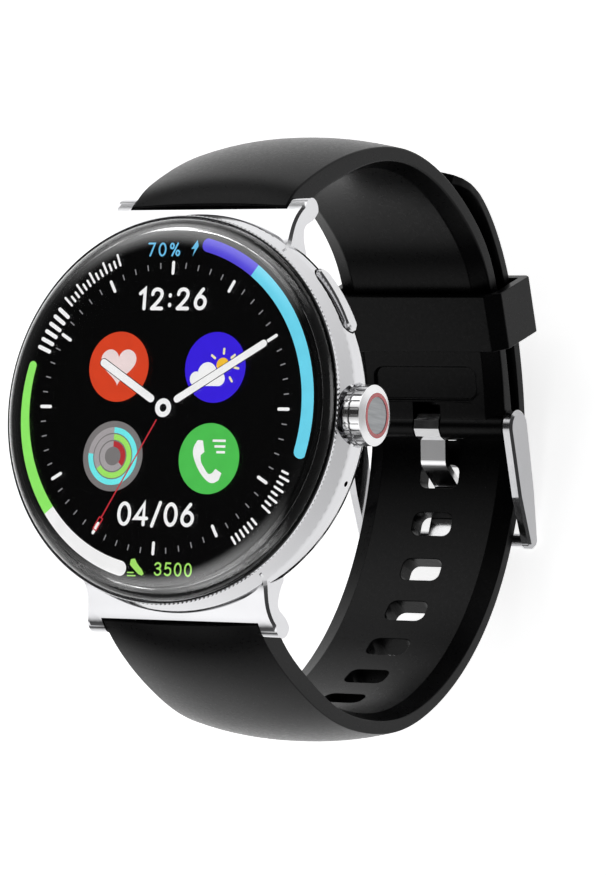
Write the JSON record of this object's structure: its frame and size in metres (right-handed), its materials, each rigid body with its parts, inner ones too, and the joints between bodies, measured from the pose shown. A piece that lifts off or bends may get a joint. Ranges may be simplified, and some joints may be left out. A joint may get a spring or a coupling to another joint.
{
  "type": "smartwatch",
  "caption": "Round smartwatch with a domed glass display, a rotating press crown, a side button and a buckled two-piece silicone strap with a keeper loop.",
  "frame": {"origin": "centre of the case back's contact face, where it rests on the wrist or on a charging pad", "axes": "+Z along the dial's normal, +X to the crown at 3 o'clock, +Y to 12 o'clock; the strap hangs towards -Z"},
  "size_m": [0.0458, 0.0673, 0.0646],
  "materials": {
    "polished_steel": "mirror polished stainless steel",
    "bar_steel": "fine turned steel",
    "spring_steel": "drawn wire",
    "cover_glass": "clear, polished, coated",
    "display_black": "gloss black with a lit picture",
    "back_plastic": "fine satin",
    "window_glass": "dark tinted, polished",
    "strap_silicone": "soft satin silicone",
    "seal_rubber": "smooth",
    "crown_red": "gloss enamel",
    "crown_grey": "brushed across",
    "bushing_brass": "turned",
    "contact_gold": "gold plated",
    "magnet_nickel": "nickel plated",
    "circuit_board": "solder mask",
    "flex_film": "polyimide film",
    "chip_plastic": "moulded epoxy",
    "frame_plastic": "moulded, fine texture",
    "battery_foil": "laminated foil pouch",
    "speaker_plastic": "moulded"
  },
  "bodies": {
    "case": {"antenna_ring": "frame_plastic", "back_cover": "back_plastic", "back_gasket": "seal_rubber", "back_screws": "bar_steel", "battery": "battery_foil", "bezel_ring": "polished_steel", "board_chips": "chip_plastic", "board_screws": "bar_steel", "board_shield": "bar_steel", "buckle_bar": "bar_steel", "button_spring": "spring_steel", "button_switch": "chip_plastic", "case_body": "polished_steel", "charge_contacts": "contact_gold", "charge_magnets": "magnet_nickel", "cover_glass": "cover_glass", "crown_bushing": "bushing_brass", "crown_sensor": "circuit_board", "crown_spring": "spring_steel", "crown_switch": "chip_plastic", "display_flex": "flex_film", "display_panel": "display_black", "glass_gasket": "seal_rubber", "inner_frame": "frame_plastic", "lower_bar_spring": "spring_steel", "lower_bar_tube": "bar_steel", "main_board": "circuit_board", "microphone": "speaker_plastic", "sensor_board": "circuit_board", "sensor_leds": "chip_plastic", "sensor_window": "window_glass", "speaker": "speaker_plastic", "strap_lower": "strap_silicone", "strap_upper": "strap_silicone", "switch_flexes": "flex_film", "upper_bar_spring": "spring_steel", "upper_bar_tube": "bar_steel", "vibration_motor_case": "bar_steel"},
    "crown_slider": {"crown_thrust_cap": "chip_plastic", "crown_switch_plunger": "chip_plastic"},
    "crown": {"crown_knob": "polished_steel", "crown_ring": "crown_red", "crown_cap": "crown_grey", "crown_shaft": "bar_steel", "crown_seal": "seal_rubber", "crown_clip": "bar_steel", "crown_magnet": "magnet_nickel"},
    "side_button": {"side_button": "polished_steel", "button_seal": "seal_rubber", "button_clip": "bar_steel", "button_switch_plunger": "chip_plastic"},
    "motor_rotor": {"vibration_motor_rotor": "bar_steel"},
    "buckle": {"buckle_frame": "polished_steel"},
    "tongue": {"buckle_tongue": "polished_steel"},
    "keeper": {"keeper": "strap_silicone"},
    "upper_bar_tip_crown_side": {"upper_bar_tip_crown_side": "bar_steel"},
    "upper_bar_tip_far_side": {"upper_bar_tip_far_side": "bar_steel"},
    "lower_bar_tip_crown_side": {"lower_bar_tip_crown_side": "bar_steel"},
    "lower_bar_tip_far_side": {"lower_bar_tip_far_side": "bar_steel"}
  },
  "joints": [
    {"name": "crown_press", "type": "slide", "parent": "case", "child": "crown_slider", "axis": [-1, 0, 0], "range_m": [0, 0.0004], "stiffness_N_per_m": 4000, "springref_m": -0.0001, "deforming": ["crown_spring"]},
    {"name": "crown_spin", "type": "hinge", "parent": "crown_slider", "child": "crown", "pos_m": [0, 0, 0.0054], "axis": [1, 0, 0], "continuous": true},
    {"name": "button_press", "type": "slide", "parent": "case", "child": "side_button", "axis": [-0.8192, -0.5736, 0], "range_m": [0, 0.0004], "stiffness_N_per_m": 4000, "springref_m": -0.0001, "deforming": ["button_spring"]},
    {"name": "motor_spin", "type": "hinge", "parent": "case", "child": "motor_rotor", "pos_m": [0.0015, -0.0134, 0.004], "axis": [0, 0, 1], "continuous": true},
    {"name": "buckle_hinge", "type": "hinge", "parent": "case", "child": "buckle", "pos_m": [0, 0.0047, -0.0474], "axis": [1, 0, 0], "range_deg": [-1, 40]},
    {"name": "tongue_hinge", "type": "hinge", "parent": "case", "child": "tongue", "pos_m": [0, 0.0047, -0.0474], "axis": [1, 0, 0], "range_deg": [-0.6, 1.2]},
    {"name": "keeper_slide", "type": "slide", "parent": "case", "child": "keeper", "axis": [0, 0.91, 0.4147], "range_m": [-0.0015, 0.0015]},
    {"name": "upper_tip_crown_side_press", "type": "slide", "parent": "case", "child": "upper_bar_tip_crown_side", "axis": [-1, 0, 0], "range_m": [0, 0.0011], "stiffness_N_per_m": 1500, "springref_m": -0.0004, "deforming": ["upper_bar_spring"]},
    {"name": "upper_tip_far_side_press", "type": "slide", "parent": "case", "child": "upper_bar_tip_far_side", "axis": [1, 0, 0], "range_m": [0, 0.0011], "stiffness_N_per_m": 1500, "springref_m": -0.0004, "deforming": ["upper_bar_spring"]},
    {"name": "lower_tip_crown_side_press", "type": "slide", "parent": "case", "child": "lower_bar_tip_crown_side", "axis": [-1, 0, 0], "range_m": [0, 0.0011], "stiffness_N_per_m": 1500, "springref_m": -0.0004, "deforming": ["lower_bar_spring"]},
    {"name": "lower_tip_far_side_press", "type": "slide", "parent": "case", "child": "lower_bar_tip_far_side", "axis": [1, 0, 0], "range_m": [0, 0.0011], "stiffness_N_per_m": 1500, "springref_m": -0.0004, "deforming": ["lower_bar_spring"]}
  ]
}
